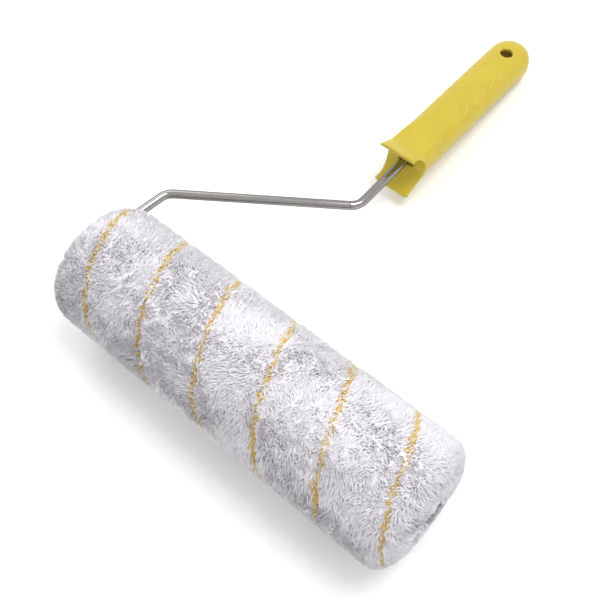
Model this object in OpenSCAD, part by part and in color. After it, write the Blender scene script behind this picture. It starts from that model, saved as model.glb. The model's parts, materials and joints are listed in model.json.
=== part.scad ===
// Paint roller: a 250 mm long-pile cover on a wire cage, on a bent wire frame
// with a moulded handle.  Millimetres.  The tool lies as it rests on a table:
// its pile and the tip of its handle touch z = 0, +X runs along the axle towards
// its free end, and +Y from the cover towards the handle.
//
// Every module draws its piece in the tool's own plane: the axle is the X axis,
// the wire frame lies in z = 0 and the handle runs along +Y.  lay_down() then
// tips the tool onto the table.

/* [Cover] */
// Length of the cover's core tube
core_length = 250; // [240:1:252]
// Inside diameter of the core tube
core_bore = 48; // [46.5:0.1:48.4]
// Wall of the core tube
core_wall = 1.75; // [1.2:0.05:2]
// Outside diameter over the pile
pile_diameter = 85; // [84:0.5:90]
// How far the pile stands past the core at each end
pile_overhang = 3; // [2:0.5:4]
// Radius of the pile's rounded ends
pile_rounding = 14; // [8:1:15]

/* [Wire frame] */
// Diameter of the frame wire
wire_d = 6; // [5.5:0.1:6.5]
// Middle-line radius of the wire's bends
bend_radius = 11; // [9:0.5:12]
// Distance from mid-cover to the axle's corner
corner_out = 136.9; // [136:0.1:142]
// Distance from the axle up to the wire's upper bend
arm_height = 63.6; // [58:0.1:70]
// How far the arm leans in over its height
arm_lean = 6.9; // [0:0.1:8]
// Distance from the axle to the bend below the handle
neck_height = 136.6; // [128:0.1:140]
// Sideways place of the handle, measured from mid-cover
handle_x = -26.8; // [-40:0.1:0]
// Distance from the axle to the end of the tang inside the handle
tang_end = 280; // [250:1:285]

/* [Handle] */
// Distance from the axle to the start of the grip
grip_start = 188; // [186:1:190]
// Distance from the axle to the handle's far end
grip_end = 328; // [326:1:340]
// Width of the grip
grip_width = 33; // [31:1:36]
// Thickness of the grip
grip_thickness = 25; // [24:1:28]
// Corner radius of the grip's section
grip_rounding = 11; // [8:0.5:12]
// How far the grip droops out of the wire's plane, in degrees
grip_droop = 1.8; // [0:0.1:3]
// Distance from the axle to the edges of the flared lips
lip_edge = 174.5; // [172:0.5:178]
// Height of each lip's edge over the middle plane
lip_height = 19; // [18:0.5:20]
// Width of the lips
lip_width = 30; // [27:0.5:31]
// Thickness of the lips at their edges
lip_edge_t = 3; // [2.6:0.1:3.4]
// Diameter of the hanging hole
hang_d = 9.2; // [8:0.1:10]
// Distance from the hanging hole's middle to the handle's far end
hang_inset = 18; // [16:0.5:22]
// Thickness of the web that the hanging hole goes through
hang_web = 3; // [2.5:0.1:4]

/* [Cage] */
// Diameter of the five cage wires
cage_wire_d = 3; // [2.5:0.1:3]
// Radial clearance between the cage and the core's bore
cage_clearance = 0.4; // [0.3:0.05:0.6]
// Radial running clearance between bush and axle
bush_clearance = 0.06; // [0.02:0.01:0.09]

/* [Hidden] */

$fn = 64;
past = 1;  // how far a cutter runs past the face it opens

// Radii
wire_r = wire_d / 2;
core_r = core_bore / 2;
core_outer_r = core_r + core_wall;
pile_r = pile_diameter / 2;
cage_r = core_r - cage_clearance;
cage_wire_r = cage_wire_d / 2;
cage_circle_r = cage_r - cage_wire_r - 0.5;  // middle lines of the cage wires
bush_bore_r = wire_r + bush_clearance;
bush_r = wire_r + 2.2;
bush_flange_r = bush_r + 2;
hub_r = bush_r + 3;
flange_r = core_r + 1.2;
rim_inner_r = cage_circle_r - cage_wire_r - 1.8;
counterbore_r = 9.5;
plug_r = 11;
washer_bore_r = wire_r + 0.2;
washer_r = 8;
collar_r = wire_r + 2.5;
spider_bore_r = wire_r + 1.5;

// Lengths along the axle
half_core = core_length / 2;
flange_t = 1.6;
rim_depth = 12;
wire_seat = 3.5;  // solid cap between a cage wire's end and the cap's face
dish_depth = 3;
web_t = 3;
bush_length = 12;
bush_flange_t = 1;
washer_t = 1;
collar_t = 3;
axial_play = 0.3;
retainer_t = 0.6;
axle_tip = 3;
plug_t = 1.5;
plug_skirt = 3.5;
spider_t = 3;
spider_x = core_length / 6;

// Stations along the axle, from the arm to the free end
collar_x = -half_core + 0.9;
inner_washer_x = collar_x + collar_t;
inner_bush_x = inner_washer_x + washer_t + axial_play;
outer_bush_x = half_core - 22;
outer_washer_x = outer_bush_x + bush_length + axial_play;
retainer_x = outer_washer_x + washer_t;
axle_end = retainer_x + retainer_t + axle_tip;

// The lips' outer flare is part of a ring that is tangent to the grip
half_grip = grip_thickness / 2;
flare_run = 26;
flare_rise = lip_height - half_grip;
flare_r = (pow(flare_run, 2) + pow(flare_rise, 2)) / (2 * flare_rise);
// The side cut between the lips is round, and ends inside the grip
cut_r = lip_height - lip_edge_t;
// Slot around the wire, sunk into the bottom of that cut
slot_width = 12;
slot_height = 9;
slot_end = grip_start + 9;
slot_corner_r = 1.5;

// Seen from the side, the grip's end is round
tip_r = 20;
tip_middle = (grip_end - tip_r - grip_start) * [cos(grip_droop), -sin(grip_droop)]
    + [grip_start, 0];

// The end of the grip's underside and the pile's lowest line both reach z = 0
underside = sqrt(pow(tip_r, 2) - pow(half_grip, 2)) * [cos(grip_droop), -sin(grip_droop)]
    - half_grip * [sin(grip_droop), cos(grip_droop)] + tip_middle;
tilt = asin(pile_r / norm(underside)) - atan2(-underside[1], underside[0]);
corner_swing = 90 + atan2(arm_lean, arm_height);
x_low = -(corner_out - bend_radius * tan(corner_swing / 2) + bend_radius + wire_r);
x_high = half_core + pile_overhang;
y_low = -pile_r;
y_high = tip_middle[0] * cos(tilt) + tip_middle[1] * sin(tilt) + tip_r;

// Corners of the frame wire's middle line, from the axle's free end to the tang
frame_path = [[axle_end, 0],
              [-corner_out, 0],
              [arm_lean - corner_out, arm_height],
              [handle_x, neck_height],
              [handle_x, tang_end]];

cage_wires = 5;
cage_wire_length = core_length - 2 * wire_seat;

// The table frame: the middle of the tool's footprint is the origin
module lay_down() {
    translate([-(x_low + x_high) / 2, -(y_low + y_high) / 2, pile_r])
        rotate([-tilt, 0, 0])
            children();
}

// ---- Shared shapes ----

// A cylinder along +X from x = start
module along_x(start, length, r) {
    translate([start, 0, 0]) rotate([0, 90, 0]) cylinder(h = length, r = r);
}

// A tube along +X from x = start
module tube_x(start, length, r_out, r_in) {
    difference() {
        along_x(start, length, r_out);
        along_x(start - past, length + 2 * past, r_in);
    }
}

// A shape turned about the X axis, from its [x, radius] outline
module turned(outline) {
    rotate([0, 90, 0]) rotate_extrude() polygon([for (p = outline) [p[1], p[0]]]);
}

// Copies of a shape, evenly spaced about the X axis
module ring_of(count, offset = 0) {
    for (i = [0 : count - 1]) rotate([offset + 360 * i / count, 0, 0]) children();
}

// Bent wire in z = 0: straight runs joined by parts of a ring
function heading(a, b) = atan2(b[1] - a[1], b[0] - a[0]);
function wrapped(angle) = angle > 180 ? angle - 360 : angle < -180 ? angle + 360 : angle;
function swing(path, i) = wrapped(heading(path[i], path[i + 1]) - heading(path[i - 1], path[i]));
// How much of each straight run the bend at point i takes up
function setback(path, i, bend) =
    i == 0 || i == len(path) - 1 ? 0 : bend * tan(abs(swing(path, i)) / 2);

// The run from point i, with a slight swelling where it meets a bend
module wire_run(path, i, r, bend) {
    swelling_r = 1.01 * r;
    from = setback(path, i, bend);
    length = norm(path[i + 1] - path[i]) - from - setback(path, i + 1, bend);
    translate(path[i]) rotate([0, 0, heading(path[i], path[i + 1])]) {
        along_x(from, length, r);
        if (i > 0) translate([from, 0, 0]) sphere(swelling_r);
        if (i < len(path) - 2) translate([from + length, 0, 0]) sphere(swelling_r);
    }
}

module wire_bend(path, i, r, bend) {
    left = swing(path, i) > 0;
    translate(path[i])
        rotate([0, 0, heading(path[i - 1], path[i])])
            translate([-setback(path, i, bend), left ? bend : -bend])
                rotate([0, 0, left ? -90 : 90 + swing(path, i)])
                    rotate_extrude(angle = abs(swing(path, i)))
                        translate([bend, 0]) circle(r = r);
}

module bent_wire(path, r, bend) {
    for (i = [0 : len(path) - 2]) wire_run(path, i, r, bend);
    for (i = [1 : len(path) - 2]) wire_bend(path, i, r, bend);
}

module rounded_rectangle(width, height, r) {
    square([width - 2 * r, height], center = true);
    square([width, height - 2 * r], center = true);
    for (x = [-1, 1], y = [-1, 1])
        translate([x * (width / 2 - r), y * (height / 2 - r)]) circle(r = r);
}

// ---- Frame: wire, handle and what is fixed on the axle ----

module frame_rod() {
    color([0.72, 0.72, 0.70])
        lay_down() bent_wire(frame_path, wire_r, bend_radius);
}

// A flat shape in the XY plane, made thick to both sides of z = 0
module plate(thickness) {
    translate([0, 0, -thickness / 2]) linear_extrude(thickness) children();
}

// A bar along +Y, from y = start, of the section given in X and Z
module along_y(start, length) {
    translate([0, start, 0]) rotate([-90, 0, 0]) linear_extrude(length) children();
}

// Turns a shape out of the wire's plane by the grip's droop
module droop() {
    translate([0, grip_start, 0])
        rotate([-grip_droop, 0, 0])
            translate([0, -grip_start, 0])
                children();
}

// A bar with an oval section and an end that is round from above and from the side
module grip() {
    end_r = grip_width / 2;
    intersection() {
        along_y(grip_start, grip_end - grip_start)
            rounded_rectangle(grip_width, grip_thickness, grip_rounding);
        plate(2 * grip_thickness) {
            translate([-end_r, grip_start]) square([grip_width, grip_end - end_r - grip_start]);
            translate([0, grip_end - end_r]) circle(r = end_r);
        }
        union() {
            translate([-grip_width, grip_start, -grip_thickness])
                cube([2 * grip_width, grip_end - tip_r - grip_start, 2 * grip_thickness]);
            translate([-grip_width, grip_end - tip_r, 0]) along_x(0, 2 * grip_width, tip_r);
        }
    }
}

// The raised thumb panel, with the same below
module thumb_panel() {
    panel_width = 25;
    panel_length = 30;
    panel_thickness = grip_thickness - 0.4;
    panel_corner_r = 2;
    along_y(grip_start, panel_length)
        rounded_rectangle(panel_width, panel_thickness, panel_corner_r);
}

// The two lips, flared away from the middle plane
module lips() {
    difference() {
        translate([-lip_width / 2, lip_edge, -lip_height])
            cube([lip_width, flare_run, 2 * lip_height]);
        for (side = [-1, 1])
            translate([-lip_width, lip_edge + flare_run, side * (half_grip + flare_r)])
                along_x(0, 2 * lip_width, flare_r);
    }
}

// The hollow in the underside, below the web of the hanging hole
module hanging_pocket() {
    pocket_wall = 6;
    pocket_r = grip_width / 2 - pocket_wall;
    middle_y = grip_end - grip_width / 2;
    roof = half_grip - hang_web;
    translate([0, middle_y, -half_grip - past])
        linear_extrude(half_grip + past + roof) {
            circle(r = pocket_r);
            translate([-pocket_r, -pocket_r]) square([2 * pocket_r, pocket_r]);
        }
}

module handle_body() {
    color([0.90, 0.80, 0.32]) lay_down() translate([handle_x, 0, 0]) difference() {
        droop() difference() {
            union() {
                grip();
                thumb_panel();
                lips();
            }
            translate([-grip_width, lip_edge - past, 0]) along_x(0, 2 * grip_width, cut_r);
            along_y(lip_edge, slot_end - lip_edge) rounded_rectangle(slot_width, slot_height, slot_corner_r);
            hanging_pocket();
            translate([0, grip_end - hang_inset, 0]) cylinder(h = grip_thickness, r = hang_d / 2);
        }
        along_y(lip_edge, tang_end - lip_edge) circle(r = wire_r);
    }
}

// A crimped collar: it stops the cage from sliding towards the arm
module axle_stop_collar() {
    color([0.70, 0.70, 0.68]) lay_down() tube_x(collar_x, collar_t, collar_r, wire_r);
}

module thrust_washer(start) {
    color([0.93, 0.93, 0.90]) lay_down() tube_x(start, washer_t, washer_r, washer_bore_r);
}

// A sprung washer with teeth that bite the axle's end and keep the cage on
module push_on_retainer() {
    tooth_r = wire_r + 2;
    teeth = 6;
    retainer_r = washer_r - 1;
    color([0.66, 0.67, 0.68]) lay_down() difference() {
        turned([[retainer_x, tooth_r], [retainer_x, retainer_r],
                [retainer_x + retainer_t, retainer_r], [retainer_x + retainer_t, tooth_r],
                [retainer_x + 2 * retainer_t, wire_r], [retainer_x + retainer_t, wire_r]]);
        ring_of(teeth)
            translate([retainer_x - past, 0, -retainer_t / 2])
                cube([4 * past, tooth_r, retainer_t]);
    }
}

// ---- Cage: it turns on the axle and carries the cover ----

module wire_seats(start) {
    ring_of(cage_wires)
        translate([0, cage_circle_r, 0])
            along_x(start, rim_depth - wire_seat + past, cage_wire_r);
}

// The cap beside the arm has a flange that the cover is pushed against
module inner_end_cap() {
    face = -half_core;
    bush_seat = inner_bush_x + bush_flange_t;
    color([0.93, 0.93, 0.91]) lay_down() difference() {
        turned([[face - flange_t, rim_inner_r], [face - flange_t, flange_r],
                [face, flange_r], [face, cage_r],
                [face + rim_depth, cage_r], [face + rim_depth, rim_inner_r],
                [bush_seat + web_t, rim_inner_r], [bush_seat + web_t, hub_r],
                [inner_bush_x + bush_length, hub_r], [inner_bush_x + bush_length, bush_r],
                [bush_seat, bush_r], [bush_seat, counterbore_r],
                [face + dish_depth, counterbore_r], [face + dish_depth, rim_inner_r]]);
        wire_seats(face + wire_seat);
    }
}

// The cap at the free end has a pocket for the retainer, which the plug closes
module outer_end_cap() {
    face = half_core;
    pocket_floor = outer_bush_x + bush_length;
    seat_wall = 1.5;
    color([0.93, 0.93, 0.91]) lay_down() difference() {
        turned([[face, cage_r], [face - rim_depth, cage_r],
                [face - rim_depth, rim_inner_r], [pocket_floor - web_t, rim_inner_r],
                [pocket_floor - web_t, hub_r], [outer_bush_x + bush_flange_t, hub_r],
                [outer_bush_x + bush_flange_t, bush_r], [pocket_floor, bush_r],
                [pocket_floor, plug_r], [face, plug_r],
                [face, plug_r + seat_wall], [face - dish_depth, plug_r + seat_wall],
                [face - dish_depth, rim_inner_r], [face, rim_inner_r]]);
        wire_seats(face - rim_depth - past);
    }
}

// A bush with a flange at x = start
module flanged_bush(start) {
    color([0.88, 0.89, 0.92]) lay_down() {
        tube_x(start, bush_flange_t, bush_flange_r, bush_bore_r);
        tube_x(start, bush_length, bush_r, bush_bore_r);
    }
}

module cage_wire(number) {
    color([0.74, 0.75, 0.76]) lay_down()
        rotate([360 * (number - 1) / cage_wires, 0, 0])
            translate([0, cage_circle_r, 0])
                along_x(-cage_wire_length / 2, cage_wire_length, cage_wire_r);
}

// A disc that holds the cage wires apart; each lies in a notch in its edge
module spider(middle) {
    opening_r = 4.5;
    opening_circle_r = (cage_circle_r + spider_bore_r) / 2 + 0.5;
    start = middle - spider_t / 2;
    color([0.93, 0.93, 0.91]) lay_down() difference() {
        tube_x(start, spider_t, cage_circle_r, spider_bore_r);
        ring_of(cage_wires)
            translate([0, cage_circle_r, 0]) along_x(start - past, spider_t + 2 * past, cage_wire_r);
        ring_of(cage_wires, offset = 180 / cage_wires)
            translate([0, opening_circle_r, 0])
                along_x(start - past, spider_t + 2 * past, opening_r);
    }
}

module dust_plug() {
    skirt_t = 1.2;
    face = half_core;
    color([0.90, 0.90, 0.88]) lay_down()
        turned([[face, 0], [face, plug_r], [face - plug_skirt, plug_r],
                [face - plug_skirt, plug_r - skirt_t], [face - plug_t, plug_r - skirt_t],
                [face - plug_t, 0]]);
}

// ---- Cover: it pulls off the cage ----

module cover_core() {
    color([0.95, 0.95, 0.94]) lay_down() tube_x(-half_core, core_length, core_outer_r, core_r);
}

// The pile, as a soft tube with rounded ends
module pile_fabric() {
    end_x = half_core + pile_overhang;
    shoulder_r = pile_r - pile_rounding;
    color([0.95, 0.94, 0.95]) lay_down() rotate([0, 90, 0]) rotate_extrude() {
        translate([core_outer_r, -end_x])
            square([shoulder_r - core_outer_r, 2 * end_x]);
        translate([core_outer_r, pile_rounding - end_x])
            square([pile_r - core_outer_r, 2 * (end_x - pile_rounding)]);
        for (end = [-1, 1])
            intersection() {
                translate([shoulder_r, end * (end_x - pile_rounding)]) circle(r = pile_rounding);
                translate([core_outer_r, -end_x]) square([pile_r, 2 * end_x]);
            }
    }
}

frame_rod();
handle_body();
axle_stop_collar();
thrust_washer(inner_washer_x);  // inner_thrust_washer
inner_end_cap();
flanged_bush(inner_bush_x);  // inner_bush
cage_wire(1);  // cage_wire_1
cage_wire(2);  // cage_wire_2
cage_wire(3);  // cage_wire_3
cage_wire(4);  // cage_wire_4
cage_wire(5);  // cage_wire_5
spider(-spider_x);  // inner_spider
spider(spider_x);  // outer_spider
outer_end_cap();
flanged_bush(outer_bush_x);  // outer_bush
thrust_washer(outer_washer_x);  // outer_thrust_washer
push_on_retainer();
dust_plug();
cover_core();
pile_fabric();
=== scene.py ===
"""Paint roller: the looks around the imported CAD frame.

Shapes are built in the tool's own plane, in millimetres: the axle is the X axis with x = 0 at
mid-cover, the wire frame lies in z = 0 and the handle runs along +Y.  place() lays them down.
"""
import json
import math

import bmesh
import bpy
import numpy as np
from mathutils import Matrix, Vector


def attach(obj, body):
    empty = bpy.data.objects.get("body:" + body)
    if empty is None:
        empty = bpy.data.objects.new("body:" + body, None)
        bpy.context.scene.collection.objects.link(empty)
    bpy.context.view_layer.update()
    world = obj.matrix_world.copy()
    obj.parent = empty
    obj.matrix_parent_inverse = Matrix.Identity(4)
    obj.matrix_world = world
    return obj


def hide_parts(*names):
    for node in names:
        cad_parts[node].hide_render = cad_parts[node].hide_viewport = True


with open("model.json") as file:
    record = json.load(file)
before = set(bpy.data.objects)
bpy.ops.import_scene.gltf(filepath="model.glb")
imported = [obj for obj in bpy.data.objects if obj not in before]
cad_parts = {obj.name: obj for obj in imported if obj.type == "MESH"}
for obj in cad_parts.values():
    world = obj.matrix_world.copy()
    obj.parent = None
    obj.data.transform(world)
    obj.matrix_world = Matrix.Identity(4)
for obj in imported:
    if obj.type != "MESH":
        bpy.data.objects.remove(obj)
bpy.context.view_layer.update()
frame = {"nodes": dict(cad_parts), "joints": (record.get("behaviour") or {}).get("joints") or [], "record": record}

# ---- The tool's plane in the row frame ----

JOINTS = {joint["name"]: joint for joint in frame["joints"]}
MOUNTS = {mount["name"]: mount for mount in frame["record"]["mounts"]}
AXLE = Vector(JOINTS["roller_spin"]["pos_m"])
GRIP_DROOP = math.radians(1.8)  # the grip leans this far out of the wire's plane
ALONG = Vector((1, 0, 0))
HOLE_AXIS = Vector(MOUNTS["hanging_hole"]["axis"]).normalized()
PLANE_NORMAL = Matrix.Rotation(GRIP_DROOP, 3, ALONG) @ HOLE_AXIS
MM = 0.001
TOOL = Matrix((ALONG, PLANE_NORMAL.cross(ALONG), PLANE_NORMAL)).transposed()


def place(points):
    """Points of the tool's plane, in mm, as points of the row frame, in metres."""
    return np.asarray(points, float) @ np.array(TOOL.transposed()) * MM + np.array(AXLE)


def tool_reach(node):
    """How far a CAD node reaches along each axis of the tool's plane, in mm."""
    mesh = frame["nodes"][node].data
    points = np.empty(len(mesh.vertices) * 3)
    mesh.vertices.foreach_get("co", points)
    points = (points.reshape(-1, 3) - np.array(AXLE)) @ np.array(TOOL) / MM
    return points.max(0)


# ---- Camera ----

VIEW_FROM = Vector((0.1583, -0.1410, 0.4288))  # from the axle's middle, in the tool's plane
VIEW_AZIMUTH = math.radians(40.29)
VIEW_DOWN = math.radians(58.76)
VIEW_ROLL = math.radians(-0.24)
VIEW_LENS = 49.64
SENSOR_WIDTH = 36


def make_camera():
    data = bpy.data.cameras.new("camera")
    data.lens = VIEW_LENS
    data.sensor_width = SENSOR_WIDTH
    camera = bpy.data.objects.new("camera", data)
    turn = Matrix.Rotation(VIEW_AZIMUTH, 4, "Z") @ Matrix.Rotation(math.pi / 2 - VIEW_DOWN, 4, "X")
    turn = turn @ Matrix.Rotation(VIEW_ROLL, 4, "Z")
    in_tool = Matrix.Translation(VIEW_FROM) @ turn
    camera.matrix_world = Matrix.Translation(AXLE) @ TOOL.to_4x4() @ in_tool
    bpy.context.scene.collection.objects.link(camera)
    bpy.context.scene.camera = camera


make_camera()

# ---- Meshes ----


def add_mesh(name, points, faces, body, material):
    """A smooth piece riding a body, from points in mm in the tool's plane and quads or triangles."""
    mesh = bpy.data.meshes.new(name)
    points = place(points)
    faces = np.asarray(faces)
    corners = faces.shape[1]
    mesh.vertices.add(len(points))
    mesh.vertices.foreach_set("co", points.ravel())
    mesh.loops.add(faces.size)
    mesh.loops.foreach_set("vertex_index", faces.ravel().astype(np.int32))
    mesh.polygons.add(len(faces))
    mesh.polygons.foreach_set("loop_start", np.arange(0, faces.size, corners, dtype=np.int32))
    mesh.polygons.foreach_set("use_smooth", np.full(len(faces), True))
    mesh.materials.append(material)
    mesh.update(calc_edges=True)
    mesh.validate()
    piece = bpy.data.objects.new(name, mesh)
    bpy.context.scene.collection.objects.link(piece)
    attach(piece, body)
    return piece


# ---- Materials ----


def new_material(name, **sockets):
    """A Principled material, with each constant set on the shader's own socket."""
    material = bpy.data.materials.new(name)
    material.use_nodes = True
    shader = material.node_tree.nodes["Principled BSDF"]
    for socket, value in sockets.items():
        shader.inputs[socket.replace("_", " ")].default_value = value
    return material, material.node_tree, shader


def noise(tree, scale, detail):
    """A noise pattern in the piece's own coordinates, with scale in repeats a metre."""
    place_node = tree.nodes.new("ShaderNodeTexCoord")
    texture = tree.nodes.new("ShaderNodeTexNoise")
    texture.inputs["Scale"].default_value = scale
    texture.inputs["Detail"].default_value = detail
    tree.links.new(place_node.outputs["Object"], texture.inputs["Vector"])
    return texture.outputs["Fac"]


def ramp(tree, value, stops):
    """A colour ramp over a value, from (place, colour) stops."""
    node = tree.nodes.new("ShaderNodeValToRGB")
    while len(node.color_ramp.elements) < len(stops):
        node.color_ramp.elements.new(0.5)
    for element, (at, colour) in zip(node.color_ramp.elements, stops):
        element.position = at
        element.color = (*colour, 1)
    tree.links.new(value, node.inputs["Fac"])
    return node.outputs["Color"]


def bump(tree, shader, value, strength, distance):
    """Fine relief that follows a value; distance is its full height in metres."""
    node = tree.nodes.new("ShaderNodeBump")
    node.inputs["Strength"].default_value = strength
    node.inputs["Distance"].default_value = distance
    tree.links.new(value, node.inputs["Height"])
    tree.links.new(node.outputs["Normal"], shader.inputs["Normal"])


def spread(tree, value, low, high):
    """A value between low and high, following a pattern that runs from 0 to 1."""
    node = tree.nodes.new("ShaderNodeMapRange")
    node.inputs["To Min"].default_value = low
    node.inputs["To Max"].default_value = high
    tree.links.new(value, node.inputs["Value"])
    return node.outputs["Result"]


def plastic(name, light, dark):
    """Moulded plastic: slight colour drift, uneven gloss and a fine skin."""
    material, tree, shader = new_material(name, IOR=1.49)
    drift = noise(tree, 60, 4)
    tree.links.new(ramp(tree, drift, [(0.35, dark), (0.65, light)]), shader.inputs["Base Color"])
    tree.links.new(spread(tree, noise(tree, 240, 3), 0.32, 0.46), shader.inputs["Roughness"])
    bump(tree, shader, noise(tree, 1600, 2), strength=0.25, distance=0.00005)
    return material


def steel(name, light, dark, roughness=(0.12, 0.26)):
    """Bright wire or sheet: a fine grain and slightly uneven gloss."""
    material, tree, shader = new_material(name, Metallic=1.0, Specular_Tint=(0.2, 0.2, 0.2, 1))
    grain = noise(tree, 900, 4)
    tree.links.new(ramp(tree, grain, [(0.3, dark), (0.7, light)]), shader.inputs["Base Color"])
    tree.links.new(spread(tree, noise(tree, 150, 3), *roughness), shader.inputs["Roughness"])
    bump(tree, shader, grain, strength=0.15, distance=0.00002)
    return material


# ---- Pile ----

CORE_R = tool_reach("cover_core")[2]
PILE_END, _, PILE_R = tool_reach("pile_fabric")
PILE_ROUNDING = 14.0  # radius of the pile's rounded ends
STRIPE_STARTS = 2  # how many stripes wind round the cover side by side
STRIPE_STEP = 43.06  # from one stripe to the next, along the cover
STRIPE_OFFSET = -131.6  # where stripe 0 crosses the side towards the handle
STRIPE_HALF = 1.9  # half of a stripe's width


def hills(a, b, seed):
    """A smooth random field over two coordinates, from about -1 to 1."""
    count, low, high = 24, 1.0, 4.0
    draw = np.random.default_rng(seed)
    total = np.zeros(np.broadcast(a, b).shape)
    for _ in range(count):
        angle, phase = draw.uniform(0, 2 * math.pi, 2)
        rate = draw.uniform(low, high)
        total += np.sin(rate * (np.cos(angle) * a + np.sin(angle) * b) + phase)
    return total / math.sqrt(count / 2) * 0.7


def skin(u, depth):
    """A place on the pile seen from the side: (x, radius) at arc length u from mid-cover.

    depth is how far it lies under the pile's outer surface, in mm.
    """
    straight = PILE_END - PILE_ROUNDING
    over = np.clip(np.abs(u) - straight, 0, None)
    bend = np.clip(over / PILE_ROUNDING, 0, math.pi / 2)
    inward = over - bend * PILE_ROUNDING
    out = PILE_ROUNDING - depth
    x = np.sign(u) * (np.minimum(np.abs(u), straight) + out * np.sin(bend))
    r = PILE_R - PILE_ROUNDING + out * np.cos(bend) - inward
    return x, r


def stripe_distance(u, turn):
    """Distance in mm, along the cover, from the middle of the nearest stripe."""
    along = u - STRIPE_OFFSET - STRIPE_STARTS * STRIPE_STEP * turn / (2 * math.pi)
    return np.abs((along + STRIPE_STEP / 2) % STRIPE_STEP - STRIPE_STEP / 2)


def skin_normal(u, turn):
    """Which way the pile's surface faces at arc length u and angle turn."""
    over = np.clip(np.abs(u) - (PILE_END - PILE_ROUNDING), 0, None)
    bend = np.clip(over / PILE_ROUNDING, 0, math.pi / 2)
    out = np.cos(bend)
    return np.stack([np.sign(u) * np.sin(bend), out * np.cos(turn), out * np.sin(turn)], axis=-1)


def on_skin(u, turn, depth):
    """Points of the pile at arc length u and angle turn, depth mm under its surface."""
    x, r = skin(u, depth)
    return np.stack([x, r * np.cos(turn), r * np.sin(turn)], axis=-1)


def unit(vectors):
    """The vectors at length 1."""
    return vectors / np.maximum(np.linalg.norm(vectors, axis=-1, keepdims=True), 1e-9)


LOCK_STEPS = np.array([0.0, 0.42, 0.76, 1.0])  # stations along a lock, root to tip
LOCK_WIDTH = np.array([0.85, 1.0, 0.72])  # share of its width at each but the tip
LOCK_SIDES = 3
LOCK_SWEEP = 1.6  # above 1, a lock leans over mostly near its tip
LOCK_RISE = 0.8  # below 1, a lock rises fastest near its tip
SOFTNESS = 0.22  # how far a lock's own roundness turns its shading from the pile's surface
LOCK_POINTS = LOCK_SIDES * len(LOCK_WIDTH) + 1


def lock_faces():
    """The triangles of one lock: a closed, tapered, three-sided tuft."""
    faces = [(2, 1, 0)]
    for ring in range(len(LOCK_WIDTH) - 1):
        for side in range(LOCK_SIDES):
            a = ring * LOCK_SIDES + side
            b = ring * LOCK_SIDES + (side + 1) % LOCK_SIDES
            faces += [(a, b, b + LOCK_SIDES), (a, b + LOCK_SIDES, a + LOCK_SIDES)]
    last = LOCK_POINTS - 1 - LOCK_SIDES
    for side in range(LOCK_SIDES):
        faces.append((last + side, last + (side + 1) % LOCK_SIDES, last + LOCK_SIDES))
    return np.array(faces)


def lock_points(locks, draw):
    """The points and shading normals of many locks; each lock is one row of every entry."""
    count = len(locks["u"])
    line = np.empty((count, len(LOCK_STEPS), 3))
    for k, t in enumerate(LOCK_STEPS):
        sweep = t**LOCK_SWEEP
        rooted = (1 - t) ** LOCK_RISE
        depth = locks["root"] * rooted + locks["tip"] * (1 - rooted)
        sway = math.sin(math.pi * t)
        u = locks["u"] + sweep * locks["du"] + sway * locks["curl_u"]
        turn = locks["turn"] + (sweep * locks["dv"] + sway * locks["curl_v"]) / PILE_R
        line[:, k] = on_skin(u, turn, depth)
    tangent = unit(np.gradient(line, axis=1))
    around = np.stack([np.zeros(count), -np.sin(locks["turn"]), np.cos(locks["turn"])], axis=-1)
    across = unit(np.cross(tangent, around[:, None, :]))
    beside = np.cross(tangent, across)
    spin = draw.uniform(0, 2 * math.pi, count)
    facing = skin_normal(locks["u"], locks["turn"])
    points = np.empty((count, LOCK_POINTS, 3))
    normals = np.empty((count, LOCK_POINTS, 3))
    for k, share in enumerate(LOCK_WIDTH):
        radius = (share * locks["width"] / 2)[:, None]
        for side in range(LOCK_SIDES):
            angle = (spin + side * 2 * math.pi / LOCK_SIDES)[:, None]
            offset = np.cos(angle) * across[:, k] + np.sin(angle) * beside[:, k]
            points[:, k * LOCK_SIDES + side] = line[:, k] + radius * offset
            normals[:, k * LOCK_SIDES + side] = facing + SOFTNESS * offset
    points[:, -1] = line[:, -1]
    normals[:, -1] = facing + SOFTNESS * tangent[:, -1]
    return points, unit(normals)


LOCK_GAP = 1.06  # spacing of the locks' roots, mm
NAP = 2.3  # how far a lock's tip lies from above its root, mm
CLUMP_GAP = 5.2  # spacing of the clumps that they gather into, mm
HEADING_SWING = 1.6  # how far the nap's heading turns over a patch, in radians
HEADING_PATCH = 26  # size of those patches, mm
HEIGHT_PATCH = 30  # size of the patches of higher and lower pile, mm
ROOT_DEPTH = 6.5  # how deep the locks' roots lie, mm
ROUND_END = PILE_END - PILE_ROUNDING + PILE_ROUNDING * math.pi / 2 + 2.0  # arc length, mm
SKIN_END = ROUND_END + 7.0  # at the free end, locks also lie over the core's edge
EDGE_RUN = 9  # the last stretch before ROUND_END, where the tips rise, mm
EDGE_RISE = 2.0  # how far they rise, mm
ROOT_RUN, ROOT_RISE = 2, 4.2  # the roots rise too, over a shorter stretch
STRIPE_DIP, STRIPE_DIP_HALF = 0.5, 2.6  # the white pile lies lower beside a stripe, mm
GOLDEN_SHARE = 0.8  # share of a stripe's locks that are golden
GOLDEN_DEPTH = 0.9  # how much deeper than its clump a golden tip lies, mm


def jittered_grid(gap, draw):
    """Places spread over the skin about gap mm apart: (arc length, angle)."""
    jitter = 0.5  # share of the gap
    rows = int(round(2 * SKIN_END / gap))
    columns = int(round(2 * math.pi * PILE_R / gap))
    u, turn = np.meshgrid(np.arange(rows) + 0.5, np.arange(columns) + 0.5, indexing="ij")
    turn = turn + 0.5 * (np.arange(rows) % 2)[:, None]
    u = (u + draw.uniform(-jitter, jitter, u.shape)) * gap - SKIN_END
    turn = (turn + draw.uniform(-jitter, jitter, turn.shape)) * 2 * math.pi / columns
    return u, turn


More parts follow.
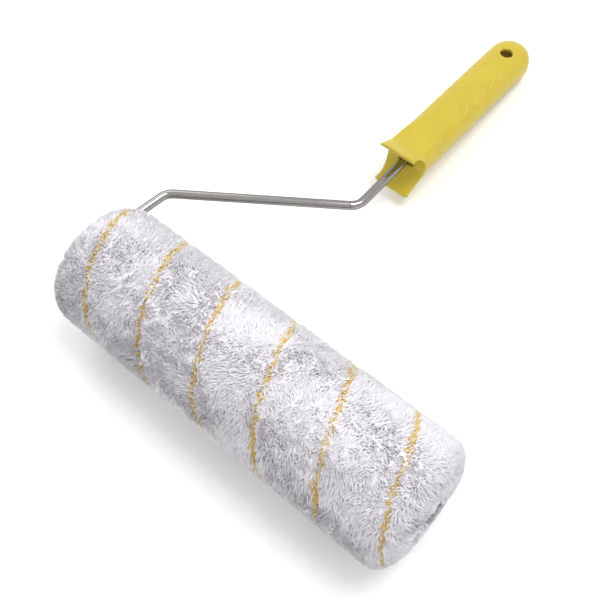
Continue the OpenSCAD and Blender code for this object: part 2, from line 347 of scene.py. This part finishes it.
def clump_of(u, turn, draw):
    """For each place, the offset in mm to its clump's middle and the clump's number; their count."""
    middles_u, middles_turn = jittered_grid(CLUMP_GAP, draw)
    rows, columns = middles_u.shape
    row = np.clip(((u + SKIN_END) / CLUMP_GAP).astype(int), 0, rows - 1)
    column = (turn / (2 * math.pi) * columns).astype(int)
    best = np.full(u.shape, np.inf)
    to_u, to_v, number = np.zeros(u.shape), np.zeros(u.shape), np.zeros(u.shape, int)
    for step_row in (-1, 0, 1):
        for step_column in (-1, 0, 1):
            r = np.clip(row + step_row, 0, rows - 1)
            c = (column + step_column) % columns
            du = middles_u[r, c] - u
            dv = (middles_turn[r, c] - turn + math.pi) % (2 * math.pi) - math.pi
            dv = dv * PILE_R
            far = du**2 + dv**2
            nearer = far < best
            best = np.where(nearer, far, best)
            to_u, to_v = np.where(nearer, du, to_u), np.where(nearer, dv, to_v)
            number = np.where(nearer, r * columns + c, number)
    return to_u, to_v, number, rows * columns


def make_locks(draw):
    """Every lock of the pile, gathered into clumps that lean with a slow nap."""
    u, turn = (values.ravel() for values in jittered_grid(LOCK_GAP, draw))
    turn = turn % (2 * math.pi)
    ends = np.abs(u) > PILE_END - PILE_ROUNDING
    crowding = np.where(ends, skin(u, 0)[1] / PILE_R, 1.0)
    kept = draw.random(u.shape) < crowding
    kept &= u > -ROUND_END
    u, turn = u[kept], turn[kept]
    to_u, to_v, clump, clumps = clump_of(u, turn, draw)
    v = turn * PILE_R
    heading = HEADING_SWING * hills(u / HEADING_PATCH, v / HEADING_PATCH, seed=3)
    heading = heading + draw.normal(0, 0.45, clumps)[clump]
    lean_u = NAP * np.cos(heading)
    lean_v = NAP * np.sin(heading)
    gather = draw.uniform(0.0, 0.45, clumps)[clump]
    rolling = np.abs(hills(u / HEIGHT_PATCH, v / HEIGHT_PATCH, seed=5))
    depth = 0.4 + 0.2 * rolling + 0.4 * draw.random(clumps)[clump]
    depth -= EDGE_RISE * np.clip((u - ROUND_END + EDGE_RUN) / EDGE_RUN, 0, 1)
    far = stripe_distance(u, turn)
    dip = STRIPE_DIP * np.exp(-((far / STRIPE_DIP_HALF) ** 2))
    width = draw.uniform(0.75, 1.15, u.shape)
    locks = {
        "u": u,
        "turn": turn,
        "du": gather * to_u + lean_u + draw.normal(0, 0.5, u.shape),
        "dv": gather * to_v + lean_v + draw.normal(0, 0.5, u.shape),
        "curl_u": draw.normal(0, 0.45, u.shape),
        "curl_v": draw.normal(0, 0.45, u.shape),
        "root": ROOT_DEPTH - ROOT_RISE * np.clip((u - ROUND_END + ROOT_RUN) / ROOT_RUN, 0, 1),
        "tip": depth + draw.exponential(0.25, u.shape) + dip,
        "width": width,
    }
    golden = far < STRIPE_HALF + 0.7 * hills(u / 3, v / 3, seed=6)
    golden &= (draw.random(u.shape) < GOLDEN_SHARE) & (np.abs(u) < ROUND_END - 8)
    for lean in ("du", "dv"):
        locks[lean] = np.where(golden, 0.5 * locks[lean], locks[lean])
    locks["tip"] = np.where(golden, depth + GOLDEN_DEPTH, locks["tip"])
    return locks, golden


def chosen(locks, mask):
    """The locks that a mask picks out."""
    return {name: values[mask] for name, values in locks.items()}


def pile_material(name, tip, root, lilac):
    """Soft yarn with painted shade: darker down between the locks than at the tips, with a slow drift in tone."""
    material, tree, shader = new_material(
        name, Roughness=0.85, Sheen_Weight=0.35, Sheen_Roughness=0.5
    )
    coordinates = tree.nodes.new("ShaderNodeTexCoord")
    from_axle = tree.nodes.new("ShaderNodeVectorMath")
    from_axle.operation = "SUBTRACT"
    from_axle.inputs[1].default_value = AXLE
    across = tree.nodes.new("ShaderNodeVectorMath")
    across.operation = "MULTIPLY"
    across.inputs[1].default_value = (0, 1, 1)
    length = tree.nodes.new("ShaderNodeVectorMath")
    length.operation = "LENGTH"
    height = tree.nodes.new("ShaderNodeMapRange")
    height.inputs["From Min"].default_value = (PILE_R - 5) * MM
    height.inputs["From Max"].default_value = (PILE_R - 0.5) * MM
    tree.links.new(coordinates.outputs["Object"], from_axle.inputs[0])
    tree.links.new(from_axle.outputs["Vector"], across.inputs[0])
    tree.links.new(across.outputs["Vector"], length.inputs[0])
    tree.links.new(length.outputs["Value"], height.inputs["Value"])
    # Painted shade: the colour runs from the darker root colour, deep between the locks, to the paler tip colour.
    painted_root_shade = ramp(tree, height.outputs["Result"], [(0.0, root), (1.0, tip)])
    drift = ramp(tree, noise(tree, 90, 4), [(0.3, lilac), (0.6, (1, 1, 1))])
    mix = tree.nodes.new("ShaderNodeMix")
    mix.data_type = "RGBA"
    mix.blend_type = "MULTIPLY"
    mix.inputs["Factor"].default_value = 1.0
    tree.links.new(painted_root_shade, mix.inputs["A"])
    tree.links.new(drift, mix.inputs["B"])
    tree.links.new(mix.outputs["Result"], shader.inputs["Base Color"])
    return material


# In each yarn the third colour, for the roots, is painted shade deep between the locks; the last is a random tone
# drift.
WHITE_YARN = pile_material("white_yarn", (0.95, 0.94, 0.96), (0.91, 0.89, 0.93), (0.96, 0.95, 0.98))
GOLD_YARN = pile_material("gold_yarn", (0.92, 0.68, 0.24), (0.80, 0.56, 0.16), (0.92, 0.88, 0.82))


def pile_bed():
    """The dense pile under the locks' tips: a closed tube that fills the space to the core."""
    rows, columns, deep = 260, 300, 4.8
    u = np.linspace(-ROUND_END, ROUND_END, rows)
    turn = np.linspace(0, 2 * math.pi, columns, endpoint=False)
    u_grid, turn_grid = np.meshgrid(u, turn, indexing="ij")
    lumps = hills(u_grid / 2.4, np.sin(turn_grid) * 14, seed=7)
    lumps = lumps * hills(u_grid / 9, np.cos(turn_grid) * 14, seed=8)
    outside = on_skin(u_grid, turn_grid, deep + 0.3 * lumps)
    x_in = np.linspace(1, -1, 12)[:, None] * (PILE_END - deep)
    inside = np.stack(
        [
            x_in + 0 * turn[None, :],
            CORE_R * np.cos(turn)[None, :] + 0 * x_in,
            CORE_R * np.sin(turn)[None, :] + 0 * x_in,
        ],
        axis=-1,
    )
    loops = np.concatenate([outside, inside])
    total = len(loops)
    ring, column = np.meshgrid(np.arange(total), np.arange(columns), indexing="ij")
    after, beside = (ring + 1) % total, (column + 1) % columns
    corners = (ring, column), (ring, beside), (after, beside), (after, column)
    faces = np.stack([a * columns + b for a, b in corners], axis=-1).reshape(-1, 4)
    # Lying deep, the bed takes the yarn's darker root colour: painted shade.
    piece = add_mesh("pile_bed", loops.reshape(-1, 3), faces, "cover", WHITE_YARN)
    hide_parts("pile_fabric")


def add_locks(name, locks, material, draw):
    """Locks as one piece, shaded mostly as the pile's surface faces."""
    points, normals = lock_points(locks, draw)
    count = len(points)
    faces = lock_faces()[None] + (np.arange(count) * LOCK_POINTS)[:, None, None]
    points = points.reshape(-1, 3)
    piece = add_mesh(name, points, faces.reshape(-1, 3), "cover", material)
    turned = normals.reshape(-1, 3) @ np.array(TOOL.transposed())
    piece.data.normals_split_custom_set_from_vertices(turned)


PILE_SECTIONS = 6  # pieces that the white locks are shared between, along the cover


def make_pile():
    pile_bed()
    draw = np.random.default_rng(20)
    locks, golden = make_locks(draw)
    add_locks("pile_stripes", chosen(locks, golden), GOLD_YARN, draw)
    white = chosen(locks, ~golden)
    edges = np.quantile(white["u"], np.linspace(0, 1, PILE_SECTIONS + 1))
    edges[-1] += 1
    for k in range(PILE_SECTIONS):
        here = (white["u"] >= edges[k]) & (white["u"] < edges[k + 1])
        add_locks(f"pile_locks_{k + 1}", chosen(white, here), WHITE_YARN, draw)


make_pile()

# ---- Handle ----

YELLOW_PLASTIC = plastic("handle_plastic", (0.53, 0.41, 0.027), (0.495, 0.38, 0.025))
HANDLE_X = -26.8  # its middle line
HALF_GRIP = 15.7  # half of the grip's width
HALF_THICK = 12.3  # half of its thickness
LIPS_NARROWER = 0.9  # how much less the lips' half width is
GRIP_START, GRIP_END = 188.0, 331.5
ROUNDING_START = 313.0  # where the side view starts to round off towards the end
LIP_EDGE, LIP_HIGH = 174.5, 19.0
FLARE_END, FLARE_EASE = 192.0, 6.0  # where the lips' flare ends, and how much of it is curved
LIP_T = 3.0  # thickness of the lips at their edges
MOUTH_R = LIP_HIGH - LIP_T  # radius of the round cut between the lips
SLOT_END = 197.0  # where the slot round the wire ends
SLOT_X, SLOT_Z, SLOT_CORNER_R = 5.2, 3.7, 0.8  # middles and radius of its rounded corners
HOLE_Y, HOLE_R = 310.0, 4.6
WEB = 3.0  # thickness of the web that the hole goes through
POCKET_R = 10.0  # radius of the hollow under the web
PANEL_DEPTH = 0.7  # how far the thumb panel lies below the grip's top
RIDGE_SLOPE = 1.8
SECTION_SIDES = 160
VOXEL = 0.5  # size of the cells that the handle's skin is rebuilt with, mm
SMOOTH_ROUNDS = 6
GROOVE_MIDDLES = (245, 257, 268, 279, 290)
GROOVE_DEPTH = 0.5
GROOVE_HALF = 0.62  # half of a groove's width


def blend(value, low, high):
    """Runs smoothly from 0 at low to 1 at high."""
    t = np.clip((value - low) / (high - low), 0, 1)
    return t * t * (3 - 2 * t)


def half_width(y):
    """The handle seen from above: lips, straight grip, half-round end."""
    into_end = np.clip(y - (GRIP_END - HALF_GRIP), 0, HALF_GRIP)
    straight = HALF_GRIP - LIPS_NARROWER * (1 - blend(y, 182, 196))
    return np.sqrt(np.maximum(HALF_GRIP**2 - into_end**2, 0.01)) * straight / HALF_GRIP


def half_height(y):
    """The handle seen from the side: flared lips, straight grip, rounded end."""
    flare = np.clip(FLARE_END - y, 0, None)
    rise = np.where(flare < FLARE_EASE, flare**2 / (2 * FLARE_EASE), flare - FLARE_EASE / 2)
    rise = rise * (LIP_HIGH - HALF_THICK) / (FLARE_END - LIP_EDGE - FLARE_EASE / 2)
    into_end = np.clip((y - ROUNDING_START) / (GRIP_END - ROUNDING_START), 0, 1)
    return (HALF_THICK + rise) * np.maximum(1 - into_end**3, 1e-4) ** (1 / 3)


def handle_section(y):
    """One section of the handle: nearly square at the lips, oval along the grip.

    The thumb panel is a flat on its top, with a ridge along each side.
    """
    angle = np.linspace(0, 2 * math.pi, SECTION_SIDES, endpoint=False)
    squareness = 7.0 - 4.6 * blend(y, 179, 194)
    wide, high = half_width(y), half_height(y)
    power = 2 / squareness
    x = wide * np.sign(np.cos(angle)) * np.abs(np.cos(angle)) ** power
    z = high * np.sign(np.sin(angle)) * np.abs(np.sin(angle)) ** power
    ridge = np.interp(y, [176, 190, 206, 213, 220, 225, 232], [14.5, 12.6, 12, 10.6, 9, 6.5, 4])
    level = high - PANEL_DEPTH
    slope = level - RIDGE_SLOPE * np.clip(np.abs(x) - ridge, 0, None)
    panel = np.maximum(np.minimum(z, level), slope)
    shown = blend(y, 182, 192) * (1 - blend(y, 219, 234))
    z = np.where(z > 0, z + shown * (panel - z), z)
    return np.stack([HANDLE_X + x, np.full(SECTION_SIDES, y), z], axis=-1)


def drooped(points):
    """Turns points of the straight grip out of the wire's plane."""
    y, z = points[:, 1] - GRIP_START, points[:, 2]
    lean, rise = math.sin(GRIP_DROOP), math.cos(GRIP_DROOP)
    return np.stack([points[:, 0], GRIP_START + y * rise + z * lean, z * rise - y * lean], axis=-1)


def solid(name, loops):
    """A closed solid skinned over loops of points, capped at both ends."""
    loops = np.asarray(loops)
    rings, sides = loops.shape[:2]
    faces = []
    for ring in range(rings - 1):
        for side in range(sides):
            a, b = ring * sides + side, ring * sides + (side + 1) % sides
            faces.append((a, b, b + sides, a + sides))
    faces.append(tuple(range(sides))[::-1])
    faces.append(tuple(range((rings - 1) * sides, rings * sides)))
    mesh = bpy.data.meshes.new(name)
    mesh.from_pydata([tuple(point) for point in loops.reshape(-1, 3)], [], faces)
    build = bmesh.new()
    build.from_mesh(mesh)
    bmesh.ops.recalc_face_normals(build, faces=build.faces)
    build.to_mesh(mesh)
    build.free()
    piece = bpy.data.objects.new(name, mesh)
    bpy.context.scene.collection.objects.link(piece)
    return piece


def outline_solid(name, outline, start, end, axes):
    """An outline (two coordinates) carried from start to end along the third axis."""
    loops = []
    for along in (start, end):
        points = np.zeros((len(outline), 3))
        points[:, axes[:2]] = outline
        points[:, axes[2]] = along
        loops.append(points)
    return solid(name, loops)


def circle(middle, radius, start=0.0, end=360.0, count=96):
    """Points of a circle, or of an arc with both of its ends."""
    angles = np.radians(np.linspace(start, end, count, endpoint=end - start < 360))
    return [(middle[0] + radius * math.cos(a), middle[1] + radius * math.sin(a)) for a in angles]


def rebuilt(piece, cutters):
    """The piece less its cutters, with its skin rebuilt in small even faces and smoothed."""
    for cutter in cutters:
        cut = piece.modifiers.new("cut", "BOOLEAN")
        cut.operation = "DIFFERENCE"
        cut.solver = "EXACT"
        cut.object = cutter
    remesh = piece.modifiers.new("skin", "REMESH")
    remesh.mode = "VOXEL"
    remesh.voxel_size = VOXEL
    smooth = piece.modifiers.new("smooth", "SMOOTH")
    smooth.factor = 0.5
    smooth.iterations = SMOOTH_ROUNDS
    ready = piece.evaluated_get(bpy.context.evaluated_depsgraph_get())
    mesh = bpy.data.meshes.new_from_object(ready)
    points = np.empty(len(mesh.vertices) * 3)
    mesh.vertices.foreach_get("co", points)
    faces = [tuple(face.vertices) for face in mesh.polygons]
    for used in (piece, *cutters):
        bpy.data.objects.remove(used)
    return points.reshape(-1, 3), faces


def groove_share(x, y):
    """Pairs of shallow slanted grooves on each shoulder of the grip, as a share of their depth."""
    depth = np.zeros_like(x)
    for middle in GROOVE_MIDDLES:
        for shift in (-1.6, 1.6):
            out = np.abs(x)
            across = (y - middle - shift) + 0.75 * (out - 5) - 0.02 * (out - 5) ** 2
            along = blend(out, 3.5, 6.0) * (1 - blend(out, 12.5, 15.2))
            depth = np.maximum(depth, along * np.exp(-((across / GROOVE_HALF) ** 2)))
    return depth


def make_handle():
    """The moulding less its mouth, slot, pocket and hole, with the grooves pressed in."""
    stations = np.concatenate(
        [
            np.linspace(LIP_EDGE, 235, 90),
            np.linspace(236, GRIP_END - HALF_GRIP, 60),
            GRIP_END - HALF_GRIP * (1 - np.sin(np.linspace(0.03, math.pi / 2 - 0.01, 40))),
        ]
    )
    body = solid("handle", [handle_section(y) for y in stations])
    mouth = outline_solid(
        "mouth", circle((LIP_EDGE - 1, 0), MOUTH_R), HANDLE_X - 40, HANDLE_X + 40, (1, 2, 0)
    )
    slot_outline = []
    for k, (side, over) in enumerate([(1, 1), (-1, 1), (-1, -1), (1, -1)]):
        corner = (HANDLE_X + side * SLOT_X, over * SLOT_Z)
        slot_outline += circle(corner, SLOT_CORNER_R, 90 * k, 90 * k + 89.9, 6)
    slot = outline_solid("slot", slot_outline, LIP_EDGE - 5, SLOT_END, (0, 2, 1))
    middle = GRIP_END - HALF_GRIP
    pocket_outline = circle((HANDLE_X, middle), POCKET_R, 0, 180, 60)
    for side in (-1, 1):
        pocket_outline.append((HANDLE_X + side * POCKET_R, middle - POCKET_R))
    pocket = outline_solid("pocket", pocket_outline, -30, HALF_THICK - WEB, (0, 1, 2))
    hole = outline_solid("hole", circle((HANDLE_X, HOLE_Y), HOLE_R), 0, 30, (0, 1, 2))
    points, faces = rebuilt(body, [mouth, slot, pocket, hole])
    x, y, z = points[:, 0] - HANDLE_X, points[:, 1], points[:, 2]
    near_top = blend(z, 3.5, 6.0)
    points[:, 2] = z - GROOVE_DEPTH * near_top * groove_share(x, y)
    piece = add_mesh("handle", drooped(points), faces, "frame", YELLOW_PLASTIC)
    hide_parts("handle_body")


make_handle()

# ---- CAD nodes that keep their shape ----


def paint(material, *nodes):
    """Gives CAD nodes a material."""
    for node in nodes:
        mesh = frame["nodes"][node].data
        mesh.materials.clear()
        mesh.materials.append(material)


FRAME_STEEL = steel("frame_steel", (0.36, 0.35, 0.335), (0.28, 0.27, 0.26))
SMALL_STEEL = steel("small_steel", (0.74, 0.75, 0.76), (0.60, 0.61, 0.62), (0.25, 0.38))
SPRING_STEEL = steel("spring_steel", (0.42, 0.43, 0.46), (0.30, 0.31, 0.34), (0.3, 0.45))
CAP_PLASTIC = plastic("cap_plastic", (0.86, 0.86, 0.84), (0.80, 0.80, 0.78))
BEARING_PLASTIC = plastic("bearing_plastic", (0.80, 0.83, 0.88), (0.74, 0.77, 0.83))
CORE_PLASTIC = plastic("core_plastic", (0.84, 0.84, 0.82), (0.76, 0.76, 0.74))

paint(FRAME_STEEL, "frame_rod")
paint(SMALL_STEEL, "axle_stop_collar", *[f"cage_wire_{k}" for k in range(1, 6)])
paint(SPRING_STEEL, "push_on_retainer")
paint(CAP_PLASTIC, "inner_end_cap", "outer_end_cap", "inner_spider", "outer_spider", "dust_plug")
paint(BEARING_PLASTIC, "inner_bush", "outer_bush", "inner_thrust_washer", "outer_thrust_washer")
paint(CORE_PLASTIC, "cover_core")

# ---- Floor and light ----


def make_floor():
    """A pale sheet under the tool, wide enough for every view."""
    half = 4.0
    mesh = bpy.data.meshes.new("floor")
    corners = [(-half, -half, 0), (half, -half, 0), (half, half, 0), (-half, half, 0)]
    mesh.from_pydata(corners, [], [(0, 1, 2, 3)])
    floor = bpy.data.objects.new("floor", mesh)
    bpy.context.scene.collection.objects.link(floor)
    material, tree, shader = new_material("floor", Roughness=0.9)
    shade = ramp(tree, noise(tree, 1.5, 2), [(0.3, (0.93, 0.93, 0.93)), (0.7, (0.95, 0.95, 0.95))])
    tree.links.new(shade, shader.inputs["Base Color"])
    mesh.materials.append(material)


def area_light(name, place_at, size, power):
    """A round light that faces the tool."""
    data = bpy.data.lights.new(name, "AREA")
    data.shape = "DISK"
    data.size = size
    data.energy = power
    light = bpy.data.objects.new(name, data)
    light.location = place_at
    light.rotation_euler = (-Vector(place_at)).to_track_quat("-Z", "Y").to_euler()
    bpy.context.scene.collection.objects.link(light)


def make_light():
    """Even white surroundings, with a soft key light above and a weaker fill."""
    world = bpy.data.worlds.new("studio")
    world.use_nodes = True
    background = world.node_tree.nodes["Background"]
    background.inputs["Color"].default_value = (1.0, 1.0, 1.0, 1)
    background.inputs["Strength"].default_value = 0.92
    bpy.context.scene.world = world
    area_light("key", (0.3, 0.3, 1.4), 0.7, 9)
    area_light("fill", (-0.9, 0.3, 0.9), 0.9, 3)


make_floor()
make_light()
bpy.context.scene.view_settings.view_transform = "Standard"
